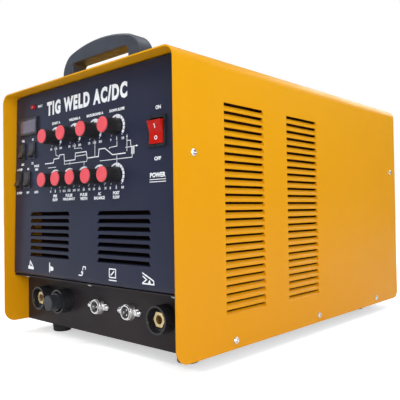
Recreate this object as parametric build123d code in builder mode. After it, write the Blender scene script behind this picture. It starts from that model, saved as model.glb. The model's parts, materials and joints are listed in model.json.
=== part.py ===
from build123d import *
from math import cos, radians, sin, sqrt
import os

# AC/DC TIG welding power source: a louvred case on rubber feet, a tilted control
# panel over a recessed connector plate, and the power parts that it holds inside.
# Millimetres, +Z up, front towards -Y, origin on the floor under the middle.

os.makedirs("parts", exist_ok=True)

# ---------------------------------------------------------------- driving sizes
case_width = 323.0
case_length = 501.0
case_height = 300.0
foot_height = 15.0
sheet = 1.5
cover_bend = 13.0
panel_tilt = 1.4            # degrees the control panel leans back
panel_rise = 63.0           # height of the panel's lower edge above the case's bottom
panel_height = 234.0
panel_setback = 11.4        # from the cover's front lip to the panel's lower edge
panel_depth = 23.0
panel_bend = 6.0
lower_plate_setback = 34.5
rear_setback = 10.0
tray_wall = 20.0
connector_rise = 33.5       # height of the connector row above the case's bottom

# -------------------------------------------------------------- derived places
lip_y = -case_length / 2
back_y = case_length / 2
case_bottom = foot_height
case_top = case_bottom + case_height
inner_half = case_width / 2 - sheet
panel_width = 2 * inner_half - 0.6
lower_plate_y = lip_y + lower_plate_setback
rear_outer_y = back_y - rear_setback
rear_inner_y = rear_outer_y - sheet
connector_z = case_bottom + connector_rise

lean = radians(panel_tilt)
face = Plane(
    origin=(0, lip_y + panel_setback, case_bottom + panel_rise),
    x_dir=(1, 0, 0),
    z_dir=(0, -cos(lean), sin(lean)),
)
face_up = Axis(face.origin, face.y_dir)
face_out = Axis(face.origin, face.z_dir)


def upright(x, y, z):
    """Plane at a point, facing the front, with local x = X and local y = Z."""
    return Plane(origin=(x, y, z), x_dir=(1, 0, 0), z_dir=(0, -1, 0))


def rearward(x, y, z):
    """Plane at a point, facing the rear, with local y = Z."""
    return Plane(origin=(x, y, z), x_dir=(-1, 0, 0), z_dir=(0, 1, 0))


def on_face(x, rise, out=0.0):
    """Plane on the control panel: x across, rise up the slope, out from its front."""
    return Plane(
        origin=face.from_local_coords((x, rise, out)),
        x_dir=(1, 0, 0),
        z_dir=face.z_dir,
    )


# ------------------------------------------------------------ places on the case
side_screw_yz = [
    (lip_y + 25.5, case_bottom + 199.0),
    (lip_y + 480.0, case_bottom + 199.0),
    (lip_y + 86.0, case_bottom + 8.9),
    (lip_y + 254.0, case_bottom + 8.9),
    (lip_y + 421.0, case_bottom + 8.9),
]
screw_hole = 2.1
panel_screw_x = (-137.0, 0.0, 137.0)
panel_screw_y = lip_y + 22.0

foot_x = 117.7
foot_inset = 60.0
foot_places = [
    (side * foot_x, end * (case_length / 2 - foot_inset))
    for side in (-1, 1)
    for end in (-1, 1)
]

# ----------------------------------------------------------- places on the panel
top_row = 171.8
bottom_row = 119.5
knob_places = {
    "start_current": (-59.0, top_row),
    "welding_current": (-19.7, top_row),
    "background_current": (19.7, top_row),
    "down_slope": (59.0, top_row),
    "pre_flow": (-59.0, bottom_row),
    "pulse_frequency": (-29.5, bottom_row),
    "pulse_width": (0.0, bottom_row),
    "ac_balance": (29.5, bottom_row),
    "post_flow": (59.0, bottom_row),
}
selector_places = {
    "process": (-137.5, 161.0),
    "current_type": (-112.8, 161.0),
    "trigger_mode": (-145.0, 123.5),
    "pulse": (-123.8, 123.5),
}
display_place = (-122.5, 193.0)
lamp_place = (-111.3, 217.0)
power_place = (123.3, 159.8)

# ------------------------------------------------------- places on the lower plate
negative_socket_x = -111.5
gas_outlet_x = -67.5
remote_socket_x = (-1.5, 54.0)
positive_socket_x = 111.5

# ------------------------------------------------------------ places on the rear
fan_z = case_bottom + 165.0
fan_size = 120.0
fan_depth = 38.0
fan_hole_half = 52.5
fan_bore = 57.5
gland_x = -105.0
inlet_x = 105.0
rear_fitting_z = case_bottom + 58.0

# -------------------------------------------------------------------- outer cover
louvre_pitch = 8.5
louvre_rows = 26
louvre_length = 71.0
louvre_slot = 6.0
louvre_rise = 3.5
louvre_lean = 3.2
louvre_slant = 2.5
louvre_cheek = 1.2
louvre_top = case_bottom + 254.0
louvre_columns_y = (lip_y + 71.0, lip_y + 186.0)
louvre_feet = [
    louvre_top - louvre_slot - row * louvre_pitch for row in range(louvre_rows)
]
louvre_hole = [
    (0, 0),
    (louvre_length, 0),
    (louvre_length - louvre_slant, louvre_slot),
    (louvre_slant / 2, louvre_slot),
]


def side_slat(side):
    """Profile of one slat, hinged at the bottom of its slot and leaning inwards."""
    outer = side * case_width / 2
    inner = side * inner_half
    lean_in = side * louvre_lean
    return [
        (outer, 0),
        (inner, 0),
        (inner - lean_in, louvre_rise),
        (outer - lean_in, louvre_rise),
    ]


def side_cheek(side):
    """Profile of the end wall that joins a slat to the sheet."""
    outer = side * case_width / 2
    inner = side * inner_half
    return [
        (outer, 0),
        (inner, 0),
        (inner - side * louvre_lean, louvre_rise),
        (outer, louvre_slot),
    ]


with BuildPart() as outer_cover:
    with Locations((0, 0, case_bottom)):
        Box(case_width, case_length, case_height, align=(Align.CENTER, Align.CENTER, Align.MIN))
    fillet(outer_cover.edges().filter_by(Axis.Y).group_by(Axis.Z)[-1], radius=cover_bend)
    open_faces = outer_cover.faces().filter_by(Axis.Y) + outer_cover.faces().sort_by(Axis.Z)[:1]
    offset(amount=-sheet, openings=open_faces)
    low_edges = outer_cover.edges().filter_by(Axis.X).group_by(Axis.Z)[0]
    fillet(low_edges.group_by(Axis.Y)[0], radius=15.5)
    low_edges = outer_cover.edges().filter_by(Axis.X).group_by(Axis.Z)[0]
    fillet(low_edges.group_by(Axis.Y)[-1], radius=12.0)
    with BuildSketch(Plane.YZ):
        with Locations(*side_screw_yz):
            Circle(screw_hole)
        with Locations(*[(start_y, foot) for start_y in louvre_columns_y for foot in louvre_feet]):
            Polygon(*louvre_hole, align=None)
    extrude(amount=case_width, both=True, mode=Mode.SUBTRACT)
    for start_y in louvre_columns_y:
        with BuildSketch(upright(0, start_y, 0)):
            with Locations(*[(0, foot) for foot in louvre_feet]):
                Polygon(*side_slat(1), align=None)
                Polygon(*side_slat(-1), align=None)
        extrude(amount=-louvre_length)
        for cheek_y in (start_y, start_y + louvre_length - louvre_cheek):
            with BuildSketch(upright(0, cheek_y, 0)):
                with Locations(*[(0, foot) for foot in louvre_feet]):
                    Polygon(*side_cheek(1), align=None)
                    Polygon(*side_cheek(-1), align=None)
            extrude(amount=-louvre_cheek)
    handle_y = lip_y + 47.0
    handle_screw_half = 64.0
    with Locations(*[(side * handle_screw_half, handle_y, case_top) for side in (-1, 1)]):
        Hole(2.7, depth=2 * sheet)
outer_cover.part.label = "outer_cover"
export_step(outer_cover.part, "parts/outer_cover.step")

# The panels inside the cover keep clear of its top bends.
panel_top = case_top - sheet - 1.0
panel_corner = cover_bend - sheet + 0.3
with BuildSketch(upright(0, lip_y, case_bottom)) as cover_cavity:
    Rectangle(panel_width, panel_top - case_bottom, align=(Align.CENTER, Align.MIN))
    fillet(cover_cavity.vertices().group_by(Axis.Y)[-1], radius=panel_corner)

# ---------------------------------------------------------------------- base tray
tray_front = lower_plate_y + 2.0
tray_length = rear_inner_y - tray_front
tray_mid = tray_front + tray_length / 2
with BuildPart() as base_tray:
    with Locations((0, tray_mid, case_bottom)):
        Box(2 * inner_half, tray_length, tray_wall, align=(Align.CENTER, Align.CENTER, Align.MIN))
    offset(amount=-sheet, openings=base_tray.faces().sort_by(Axis.Z)[-1:])
    with BuildSketch(Plane.YZ):
        with Locations(*[place for place in side_screw_yz if place[1] < case_bottom + tray_wall]):
            Circle(screw_hole)
    extrude(amount=case_width, both=True, mode=Mode.SUBTRACT)
    with Locations(*[(x, y, case_bottom + sheet) for x, y in foot_places]):
        Hole(screw_hole, depth=2 * sheet)
base_tray.part.label = "base_tray"
export_step(base_tray.part, "parts/base_tray.step")

# ------------------------------------------------------------- lower front plate
lower_plate_thickness = 2.0
lower_plate_top = panel_rise - 0.6
lower_plate_flange = 20.0
socket_neck = 10.6
remote_neck = 7.4
remote_screw_half = 15.3
with BuildPart() as lower_front_plate:
    with BuildSketch(upright(0, lower_plate_y, case_bottom)):
        Rectangle(panel_width, lower_plate_top, align=(Align.CENTER, Align.MIN))
        with Locations((negative_socket_x, connector_rise), (positive_socket_x, connector_rise)):
            Circle(socket_neck + 0.15, mode=Mode.SUBTRACT)
        with Locations((gas_outlet_x, connector_rise)):
            Circle(socket_neck + 0.15, mode=Mode.SUBTRACT)
        with Locations(*[(x, connector_rise) for x in remote_socket_x]):
            Circle(remote_neck + 0.15, mode=Mode.SUBTRACT)
            with GridLocations(2 * remote_screw_half, 0, 2, 1):
                Circle(1.6, mode=Mode.SUBTRACT)
    extrude(amount=-lower_plate_thickness)
    with Locations((0, lower_plate_y + lower_plate_thickness, case_bottom + lower_plate_top)):
        Box(
            panel_width,
            lower_plate_flange + lower_plate_thickness,
            sheet,
            align=(Align.CENTER, Align.MAX, Align.MAX),
        )
    with Locations(*[(x, panel_screw_y, case_bottom + lower_plate_top) for x in panel_screw_x]):
        Hole(screw_hole, depth=2 * sheet)
lower_front_plate.part.label = "lower_front_plate"
export_step(lower_front_plate.part, "parts/lower_front_plate.step")

# ----------------------------------------------------------------- control panel
grille_rows = 7
grille_pitch = 8.6
grille_slot = 6.4
grille_length = 90.0
grille_x = (-72.0, 70.0)
grille_top = 81.5
grille_feet = [grille_top - grille_slot - row * grille_pitch for row in range(grille_rows)]
grille_slant = 3.5
grille_tab_reach = 5.0
grille_tab_lift = 1.8
shaft_hole = 3.7
selector_cut = (13.0, 19.8)
display_cut = (41.0, 19.6)
power_cut = (22.4, 28.6)
lamp_radius = 2.9

grille_hole = [
    (0, 0),
    (grille_length, 0),
    (grille_length - grille_slant, grille_slot),
    (grille_slant, grille_slot),
]
grille_tab = [
    (0, 0),
    (sheet, 0),
    (grille_tab_reach, grille_tab_lift - sheet / 2),
    (grille_tab_reach, grille_tab_lift + sheet / 2),
    (0, sheet),
]


def across_face(x):
    """Plane cutting the panel from front to back: local x inwards, local y up."""
    return Plane(origin=on_face(x, 0).origin, x_dir=-face.z_dir, z_dir=(1, 0, 0))


with BuildPart(face) as control_panel:
    Box(panel_width, panel_height, panel_depth, align=(Align.CENTER, Align.MIN, Align.MAX))
    front_edges = control_panel.edges().group_by(face_out)[-1]
    fillet(front_edges.sort_by(face_up)[:-1], radius=panel_bend)
    open_faces = control_panel.faces().sort_by(face_out)[:1] + control_panel.faces().sort_by(face_up)[-1:]
    offset(amount=-sheet, openings=open_faces)
    extrude(cover_cavity.sketch, amount=-case_length, mode=Mode.INTERSECT)
    with BuildSketch(face):
        with Locations(*knob_places.values()):
            Circle(shaft_hole)
        with Locations(*selector_places.values()):
            Rectangle(*selector_cut)
        with Locations(display_place):
            Rectangle(*display_cut)
        with Locations(power_place):
            Rectangle(*power_cut)
        with Locations(lamp_place):
            Circle(lamp_radius + 0.1)
        with Locations(*[(x - grille_length / 2, foot) for x in grille_x for foot in grille_feet]):
            Polygon(*grille_hole, align=None)
    extrude(amount=-2 * sheet, mode=Mode.SUBTRACT)
    for x in grille_x:
        with BuildSketch(across_face(x - grille_length / 2)):
            with Locations(*[(0, foot) for foot in grille_feet]):
                Polygon(*grille_tab, align=None)
        extrude(amount=grille_length)
    with BuildSketch(Plane.YZ):
        with Locations(side_screw_yz[0]):
            Circle(screw_hole)
    extrude(amount=case_width, both=True, mode=Mode.SUBTRACT)
    with BuildSketch(Plane.XY.offset(case_bottom + panel_rise - 3.0)):
        with Locations(*[(x, panel_screw_y) for x in panel_screw_x]):
            Circle(screw_hole)
    extrude(amount=7.0, mode=Mode.SUBTRACT)
control_panel.part.label = "control_panel"
export_step(control_panel.part, "parts/control_panel.step")

# -------------------------------------------------------------------- rear panel
rear_flange = 22.0
rear_height = panel_top - case_bottom
with BuildPart() as rear_panel:
    with Locations((0, rear_outer_y, case_bottom)):
        Box(
            panel_width,
            rear_flange + sheet,
            rear_height,
            align=(Align.CENTER, Align.MAX, Align.MIN),
        )
    offset(amount=-sheet, openings=rear_panel.faces().sort_by(Axis.Y)[:1])
    extrude(cover_cavity.sketch, amount=-case_length, mode=Mode.INTERSECT)
    with Locations((0, rear_inner_y, case_bottom)):
        Box(
            case_width,
            2 * rear_flange,
            tray_wall + 1.0,
            align=(Align.CENTER, Align.MAX, Align.MIN),
            mode=Mode.SUBTRACT,
        )
    with BuildSketch(upright(0, rear_outer_y, 0)):
        with Locations((0, fan_z)):
            Circle(fan_bore - 1.0)
            with GridLocations(2 * fan_hole_half, 2 * fan_hole_half, 2, 2):
                Circle(screw_hole)
        with Locations((gland_x, rear_fitting_z)):
            Circle(10.1)
        with Locations((inlet_x, rear_fitting_z)):
            Circle(6.6)
    extrude(amount=-2 * sheet, both=True, mode=Mode.SUBTRACT)
    with BuildSketch(Plane.YZ):
        with Locations(side_screw_yz[1]):
            Circle(screw_hole)
    extrude(amount=case_width, both=True, mode=Mode.SUBTRACT)
rear_panel.part.label = "rear_panel"
export_step(rear_panel.part, "parts/rear_panel.step")

# ------------------------------------------------------------- feet and fasteners
foot_top_radius = 13.0
foot_bottom_radius = 11.6
foot_recess = 7.0
foot_planes = [Plane(origin=(x, y, 0), z_dir=(0, 0, 1)) for x, y in foot_places]
with BuildPart(*foot_planes) as rubber_feet:
    Cone(
        foot_bottom_radius,
        foot_top_radius,
        foot_height,
        align=(Align.CENTER, Align.CENTER, Align.MIN),
    )
    fillet(rubber_feet.edges().group_by(Axis.Z)[0], radius=2.0)
    Cylinder(5.0, foot_recess, align=(Align.CENTER, Align.CENTER, Align.MIN), mode=Mode.SUBTRACT)
    Cylinder(2.1, 2 * foot_height, mode=Mode.SUBTRACT)
rubber_feet.part.label = "rubber_feet"
export_step(rubber_feet.part, "parts/rubber_feet.step")


def pan_head(head_radius, head_height, shank_radius, shank_length, drive):
    """One pan-head screw on the current workplanes, its seat at local z = 0."""
    Cylinder(head_radius, head_height / 2, align=(Align.CENTER, Align.CENTER, Align.MIN))
    with Locations((0, 0, head_height / 2)):
        Cone(
            head_radius,
            head_radius * 0.65,
            head_height / 2,
            align=(Align.CENTER, Align.CENTER, Align.MIN),
        )
    with Locations((0, 0, head_height)):
        Box(drive, drive / 4, head_height, mode=Mode.SUBTRACT)
        Box(drive / 4, drive, head_height, mode=Mode.SUBTRACT)
    Cylinder(shank_radius, shank_length, align=(Align.CENTER, Align.CENTER, Align.MAX))


foot_screw_planes = [
    Plane(origin=(x, y, foot_recess), x_dir=(1, 0, 0), z_dir=(0, 0, -1)) for x, y in foot_places
]
with BuildPart(*foot_screw_planes) as foot_screws:
    pan_head(3.8, 2.6, 2.0, 13.0, 4.0)
foot_screws.part.label = "foot_screws"
export_step(foot_screws.part, "parts/foot_screws.step")

case_screw_planes = [
    Plane(origin=(side * case_width / 2, y, z), x_dir=(0, 0, 1), z_dir=(side, 0, 0))
    for side in (-1, 1)
    for y, z in side_screw_yz
]
panel_screw_z = case_bottom + lower_plate_top - sheet
case_screw_planes += [
    Plane(origin=(x, panel_screw_y, panel_screw_z), x_dir=(1, 0, 0), z_dir=(0, 0, -1))
    for x in panel_screw_x
]
guard_thickness = 2.4
case_screw_planes += [
    rearward(x, rear_outer_y + guard_thickness, fan_z + rise)
    for x in (-fan_hole_half, fan_hole_half)
    for rise in (-fan_hole_half, fan_hole_half)
]
with BuildPart(*case_screw_planes) as case_screws:
    pan_head(3.7, 2.4, 2.0, 7.5, 4.0)
case_screws.part.label = "case_screws"
export_step(case_screws.part, "parts/case_screws.step")

# ------------------------------------------------------------------ carry handle
handle_half = 74.5
handle_top = 49.2
handle_arch = 207.0
handle_shoulder = 28.0
handle_depth = 21.5
grip_half = 53.5
grip_clearance = 29.0
with BuildPart() as carry_handle:
    with BuildSketch(upright(0, handle_y + handle_depth / 2, case_top)):
        Rectangle(2 * handle_half, 60.0, align=(Align.CENTER, Align.MIN))
        with Locations((0, handle_top - handle_arch)):
            Circle(handle_arch, mode=Mode.INTERSECT)
        fillet(vertices().group_by(Axis.Y)[-1], radius=handle_shoulder)
        Rectangle(2 * grip_half, grip_clearance, align=(Align.CENTER, Align.MIN), mode=Mode.SUBTRACT)
        inner_corners = vertices().filter_by(lambda v: abs(v.Y - grip_clearance) < 0.01)
        fillet(inner_corners, radius=5.0)
    extrude(amount=handle_depth)
    long_edges = carry_handle.edges().filter_by(lambda e: e.center().Z > case_top + 1.0)
    fillet(long_edges, radius=2.2)
    with Locations(*[(side * handle_screw_half, handle_y, case_top) for side in (-1, 1)]):
        Cylinder(2.6, 18.0, align=(Align.CENTER, Align.CENTER, Align.MIN), mode=Mode.SUBTRACT)
carry_handle.part.label = "carry_handle"
export_step(carry_handle.part, "parts/carry_handle.step")

handle_screw_planes = [
    Plane(
        origin=(side * handle_screw_half, handle_y, case_top - sheet),
        x_dir=(1, 0, 0),
        z_dir=(0, 0, -1),
    )
    for side in (-1, 1)
]
with BuildPart(*handle_screw_planes) as handle_screws:
    pan_head(4.8, 3.2, 2.5, 16.0, 5.0)
handle_screws.part.label = "handle_screws"
export_step(handle_screws.part, "parts/handle_screws.step")

# ------------------------------------------------------------ knobs and their caps
knob_radius = 8.8
knob_gap = 0.5
knob_length = 18.6
knob_flutes = 20
bore_radius = 3.05
bore_depth = 14.0
cap_radius = 8.3
cap_thickness = 1.4
cap_spigot = 6.2
for name, place in knob_places.items():
    with BuildPart(on_face(*place, knob_gap)) as knob:
        Cylinder(knob_radius, knob_length, align=(Align.CENTER, Align.CENTER, Align.MIN))
        fillet(knob.edges().group_by(face_out)[-1], radius=0.5)
        with PolarLocations(knob_radius + 0.25, knob_flutes):
            Cylinder(
                0.6,
                knob_length - 2.5,
                align=(Align.CENTER, Align.CENTER, Align.MIN),
                mode=Mode.SUBTRACT,
            )
        Cylinder(5.0, 3.0, align=(Align.CENTER, Align.CENTER, Align.MIN), mode=Mode.SUBTRACT)
        Cylinder(
            bore_radius,
            bore_depth,
            align=(Align.CENTER, Align.CENTER, Align.MIN),
            mode=Mode.SUBTRACT,
        )
        with Locations((0, 0, knob_length)):
            Cylinder(
                cap_spigot + 0.05,
                2.0,
                align=(Align.CENTER, Align.CENTER, Align.MAX),
                mode=Mode.SUBTRACT,
            )
    knob.part.label = f"{name}_knob"
    export_step(knob.part, f"parts/{name}_knob.step")

    with BuildPart(on_face(*place, knob_gap + knob_length)) as cap:
        Cylinder(cap_radius, cap_thickness, align=(Align.CENTER, Align.CENTER, Align.MIN))
        fillet(cap.edges().group_by(face_out)[-1], radius=0.6)
        Cylinder(cap_spigot, 2.0, align=(Align.CENTER, Align.CENTER, Align.MAX))
    cap.part.label = f"{name}_cap"
    export_step(cap.part, f"parts/{name}_cap.step")

# --------------------------------------------------- control board and its parts
pot_radius = 8.0
pot_depth = 9.5
with BuildPart(*[on_face(*place, -sheet) for place in knob_places.values()]) as potentiometers:
    Cylinder(pot_radius, pot_depth, align=(Align.CENTER, Align.CENTER, Align.MAX))
    Cylinder(3.5, sheet + 2.0, align=(Align.CENTER, Align.CENTER, Align.MIN))
    Cylinder(3.0, sheet + 13.0, align=(Align.CENTER, Align.CENTER, Align.MIN))
potentiometers.part.label = "potentiometers"
export_step(potentiometers.part, "parts/potentiometers.step")

board_width = 160.0
board_height = 92.0
board_mid_rise = (top_row + bottom_row) / 2
with BuildPart(on_face(0, board_mid_rise, -sheet - pot_depth)) as control_board:
    Box(board_width, board_height, 1.6, align=(Align.CENTER, Align.CENTER, Align.MAX))
    with GridLocations(board_width - 10, board_height - 10, 2, 2):
        Cylinder(3.0, pot_depth, align=(Align.CENTER, Align.CENTER, Align.MIN))
    with Locations((-50, 0, -1.6), (0, 0, -1.6), (50, 0, -1.6)):
        Box(24, 10, 3.5, align=(Align.CENTER, Align.CENTER, Align.MAX))
control_board.part.label = "control_board"
export_step(control_board.part, "parts/control_board.step")

# ------------------------------------------------------------------ panel display
bezel_width = 44.0
bezel_height = 22.5
bezel_proud = 2.8
window_width = 38.0
window_height = 16.8
with BuildPart(on_face(*display_place)) as display_bezel:
    Box(bezel_width, bezel_height, bezel_proud, align=(Align.CENTER, Align.CENTER, Align.MIN))
    chamfer(display_bezel.edges().group_by(face_out)[-1], length=0.5)
    Box(
        display_cut[0] - 0.2,
        display_cut[1] - 0.2,
        8.0,
        align=(Align.CENTER, Align.CENTER, Align.MAX),
    )
    Box(window_width, window_height, 40.0, mode=Mode.SUBTRACT)
display_bezel.part.label = "display_bezel"
export_step(display_bezel.part, "parts/display_bezel.step")

window_front = bezel_proud - 0.7
window_thickness = 2.0
with BuildPart(on_face(*display_place, window_front)) as display_window:
    Box(
        window_width - 0.1,
        window_height - 0.1,
        window_thickness,
        align=(Align.CENTER, Align.CENTER, Align.MAX),
    )
display_window.part.label = "display_window"
export_step(display_window.part, "parts/display_window.step")

with BuildPart(on_face(*display_place, window_front - window_thickness)) as display_module:
    Box(window_width - 0.4, window_height - 0.4, 9.0, align=(Align.CENTER, Align.CENTER, Align.MAX))
display_module.part.label = "display_module"
export_step(display_module.part, "parts/display_module.step")

with BuildPart(on_face(*lamp_place)) as fault_lamp:
    Cylinder(lamp_radius, 1.6, align=(Align.CENTER, Align.CENTER, Align.MIN))
    with Locations((0, 0, 1.6)):
        Sphere(lamp_radius)
    with Locations((0, 0, -sheet)):
        Cylinder(lamp_radius, sheet, align=(Align.CENTER, Align.CENTER, Align.MIN))
        Cylinder(lamp_radius + 0.8, 3.0, align=(Align.CENTER, Align.CENTER, Align.MAX))
fault_lamp.part.label = "fault_lamp"
export_step(fault_lamp.part, "parts/fault_lamp.step")

# ---------------------------------------------------------------- rocker switches
switch_proud = 2.0
selector_size = {
    "bezel": (15.0, 21.0),
    "cut": selector_cut,
    "pocket": (10.9, 18.2),
    "depth": 12.0,
    "half": 8.2,
    "tilt": 11.0,
    "pivot": -1.0,
    "pin": 1.4,
}
power_size = {
    "bezel": (25.5, 31.0),
    "cut": power_cut,
    "pocket": (19.6, 26.0),
    "depth": 18.0,
    "half": 11.8,
    "tilt": 9.5,
    "pivot": -2.0,
    "pin": 1.8,
}


def switch_shell(size):
    """Bezel and body of a rocker switch on the current workplanes."""
    body = (size["cut"][0] - 0.2, size["cut"][1] - 0.2)
    Box(*size["bezel"], switch_proud, align=(Align.CENTER, Align.CENTER, Align.MIN))
    Box(*body, size["depth"], align=(Align.CENTER, Align.CENTER, Align.MAX))
    with Locations((0, 0, switch_proud)):
        Box(
            *size["pocket"],
            switch_proud + size["depth"] - 2.5,
            align=(Align.CENTER, Align.CENTER, Align.MAX),
            mode=Mode.SUBTRACT,
        )
    with Locations((0, 0, size["pivot"])):
        Cylinder(
            size["pin"] + 0.05,
            size["pocket"][0] + 1.6,
            rotation=(0, 90, 0),
            mode=Mode.SUBTRACT,
        )
    with Locations(*[(0, rise, -size["depth"]) for rise in (-5.5, 0, 5.5)]):
        Box(4.8, 0.8, 7.0, align=(Align.CENTER, Align.CENTER, Align.MAX))


def rocker_outline(size):
    """Side profile about the pivot: a shallow V front and a narrower inner end."""
    crown = switch_proud + 0.4 - size["pivot"]
    knee = crown / cos(radians(size["tilt"]))
    reach = size["half"] * cos(radians(size["tilt"]))
    tip = knee + size["half"] * sin(radians(size["tilt"]))
    return [
        (-reach, tip),
        (0, knee),
        (reach, tip),
        (reach, 0.5),
        (0.4 * reach, -4.0),
        (-0.4 * reach, -4.0),
        (-reach, 0.5),
    ]


def rocker_body(place, size, turn):
    """Rocker on the current part, turned about X by so many degrees."""
    seat = on_face(*place, size["pivot"])
    side_view = Plane(
        origin=seat.origin,
        x_dir=seat.y_dir * cos(radians(turn)) + seat.z_dir * sin(radians(turn)),
        z_dir=seat.x_dir,
    )
    width = size["pocket"][0] - 0.4
    with BuildSketch(side_view) as outline:
        Polygon(*rocker_outline(size), align=None)
        Circle(size["pin"])
    extrude(outline.sketch, amount=width / 2, both=True)
    with BuildSketch(side_view) as pin:
        Circle(size["pin"])
    extrude(pin.sketch, amount=size["pocket"][0] / 2 + 0.6, both=True)


selector_planes = [on_face(*place) for place in selector_places.values()]
with BuildPart(*selector_planes) as selector_switch_bodies:
    switch_shell(selector_size)
selector_switch_bodies.part.label = "selector_switch_bodies"
export_step(selector_switch_bodies.part, "parts/selector_switch_bodies.step")

for name, place in selector_places.items():
    with BuildPart() as rocker:
        rocker_body(place, selector_size, -selector_size["tilt"])
    rocker.part.label = f"{name}_rocker"
    export_step(rocker.part, f"parts/{name}_rocker.step")

with BuildPart(on_face(*power_place)) as power_switch_body:
    switch_shell(power_size)
power_switch_body.part.label = "power_switch_body"
export_step(power_switch_body.part, "parts/power_switch_body.step")

with BuildPart() as power_rocker:
    rocker_body(power_place, power_size, power_size["tilt"])
power_rocker.part.label = "power_rocker"
export_step(power_rocker.part, "parts/power_rocker.step")

# --------------------------------------------------------- weld output sockets
ring_radius = 14.75
ring_length = 14.5
cup_radius = 12.7
cup_floor = 4.0
contact_radius = 6.9


def socket_plane(x):
    return upright(x, lower_plate_y, connector_z)


def socket_shell():
    """Round insulating cup with a neck through the plate, on the current workplanes."""
    Cylinder(ring_radius, ring_length, align=(Align.CENTER, Align.CENTER, Align.MIN))
    Cylinder(socket_neck, 14.0, align=(Align.CENTER, Align.CENTER, Align.MAX))
    with Locations((0, 0, cup_floor)):
        Cylinder(
            cup_radius,
            ring_length,
            align=(Align.CENTER, Align.CENTER, Align.MIN),
            mode=Mode.SUBTRACT,
        )
    Cylinder(contact_radius + 0.05, 60.0, mode=Mode.SUBTRACT)


output_planes = [socket_plane(negative_socket_x), socket_plane(positive_socket_x)]
with BuildPart(*output_planes) as output_socket_housings:
    socket_shell()
    for x in (negative_socket_x, positive_socket_x):
        with BuildSketch(socket_plane(x).offset(cup_floor)):
            Circle(cup_radius + 0.2)
            Circle(9.2, mode=Mode.SUBTRACT)
            Polygon((0, 0), (-22, -30), (22, -30), align=None, mode=Mode.INTERSECT)
        extrude(amount=6.0)
output_socket_housings.part.label = "output_socket_housings"
export_step(output_socket_housings.part, "parts/output_socket_housings.step")

contact_front = 9.8
plug_bore = 4.6
plug_bore_depth = 24.0
with BuildPart(*output_planes) as output_socket_contacts:
    Cylinder(contact_radius, 26.0, align=(Align.CENTER, Align.CENTER, Align.MAX))
    Cylinder(contact_radius, cup_floor, align=(Align.CENTER, Align.CENTER, Align.MIN))
    for plane in output_planes:
        with BuildSketch(plane.offset(cup_floor)):
            RegularPolygon(8.6, 6)
        extrude(amount=contact_front - cup_floor)
    with Locations((0, 0, contact_front)):
        Cylinder(
            plug_bore,
            plug_bore_depth,
            align=(Align.CENTER, Align.CENTER, Align.MAX),
            mode=Mode.SUBTRACT,
        )
output_socket_contacts.part.label = "output_socket_contacts"
export_step(output_socket_contacts.part, "parts/output_socket_contacts.step")

# ------------------------------------------------------------ shielding gas outlet
with BuildPart(socket_plane(gas_outlet_x)) as gas_outlet_housing:
    socket_shell()
gas_outlet_housing.part.label = "gas_outlet_housing"
export_step(gas_outlet_housing.part, "parts/gas_outlet_housing.step")

coupling_front = 9.0
with BuildPart(socket_plane(gas_outlet_x)) as gas_outlet_coupling:
    Cylinder(contact_radius, 20.0, align=(Align.CENTER, Align.CENTER, Align.MAX))
    Cylinder(contact_radius, coupling_front, align=(Align.CENTER, Align.CENTER, Align.MIN))
    with Locations((0, 0, -20)):
        Cylinder(4.0, 14.0, align=(Align.CENTER, Align.CENTER, Align.MAX))
    Cylinder(2.2, 100.0, mode=Mode.SUBTRACT)
gas_outlet_coupling.part.label = "gas_outlet_coupling"
export_step(gas_outlet_coupling.part, "parts/gas_outlet_coupling.step")

plug_radius = 9.2
plug_length = 27.3
with BuildPart(socket_plane(gas_outlet_x)) as gas_outlet_plug:
    with Locations((0, 0, cup_floor)):
        Cylinder(10.8, 13.0, align=(Align.CENTER, Align.CENTER, Align.MIN))
    with Locations((0, 0, cup_floor + 13.0)):
        Cylinder(
            plug_radius,
            plug_length - cup_floor - 13.0,
            align=(Align.CENTER, Align.CENTER, Align.MIN),
        )
    fillet(gas_outlet_plug.edges().group_by(Axis.Y)[0], radius=0.8)
    with Locations((0, 0, cup_floor)):
        Cylinder(
            contact_radius + 0.1,
            coupling_front - cup_floor,
            align=(Align.CENTER, Align.CENTER, Align.MIN),
            mode=Mode.SUBTRACT,
        )
gas_outlet_plug.part.label = "gas_outlet_plug"
export_step(gas_outlet_plug.part, "parts/gas_outlet_plug.step")

# ------------------------------------------------------------- remote control sockets
shell_radius = 8.0
shell_wall = 1.4
shell_length = 6.8
ear_thickness = 1.2
ring_base_radius = 9.9
ring_tip_radius = 8.5
ring_length = 4.8
remote_planes = [socket_plane(x) for x in remote_socket_x]
with BuildPart(*remote_planes) as remote_socket_shells:
    for plane in remote_planes:
        with BuildSketch(plane):
            SlotOverall(2 * remote_screw_half + 7.0, 7.0)
            with Locations((-remote_screw_half, 0), (remote_screw_half, 0)):
                Circle(1.6, mode=Mode.SUBTRACT)
        extrude(amount=ear_thickness)
    Cone(ring_base_radius, ring_tip_radius, ring_length, align=(Align.CENTER, Align.CENTER, Align.MIN))
    Cylinder(shell_radius, shell_length, align=(Align.CENTER, Align.CENTER, Align.MIN))
    Cylinder(remote_neck, 10.0, align=(Align.CENTER, Align.CENTER, Align.MAX))
    Cylinder(shell_radius - shell_wall, 60.0, mode=Mode.SUBTRACT)
remote_socket_shells.part.label = "remote_socket_shells"
export_step(remote_socket_shells.part, "parts/remote_socket_shells.step")

insert_front = shell_length - 2.6
pin_circle = 3.2
pin_radius = 0.9
with BuildPart(*[plane.offset(insert_front) for plane in remote_planes]) as remote_socket_inserts:
    Cylinder(
        shell_radius - shell_wall - 0.05,
        insert_front + 12.0,
        align=(Align.CENTER, Align.CENTER, Align.MAX),
    )
    with PolarLocations(pin_circle, 6):
        Cylinder(pin_radius + 0.05, 60.0, mode=Mode.SUBTRACT)
remote_socket_inserts.part.label = "remote_socket_inserts"
export_step(remote_socket_inserts.part, "parts/remote_socket_inserts.step")

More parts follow.
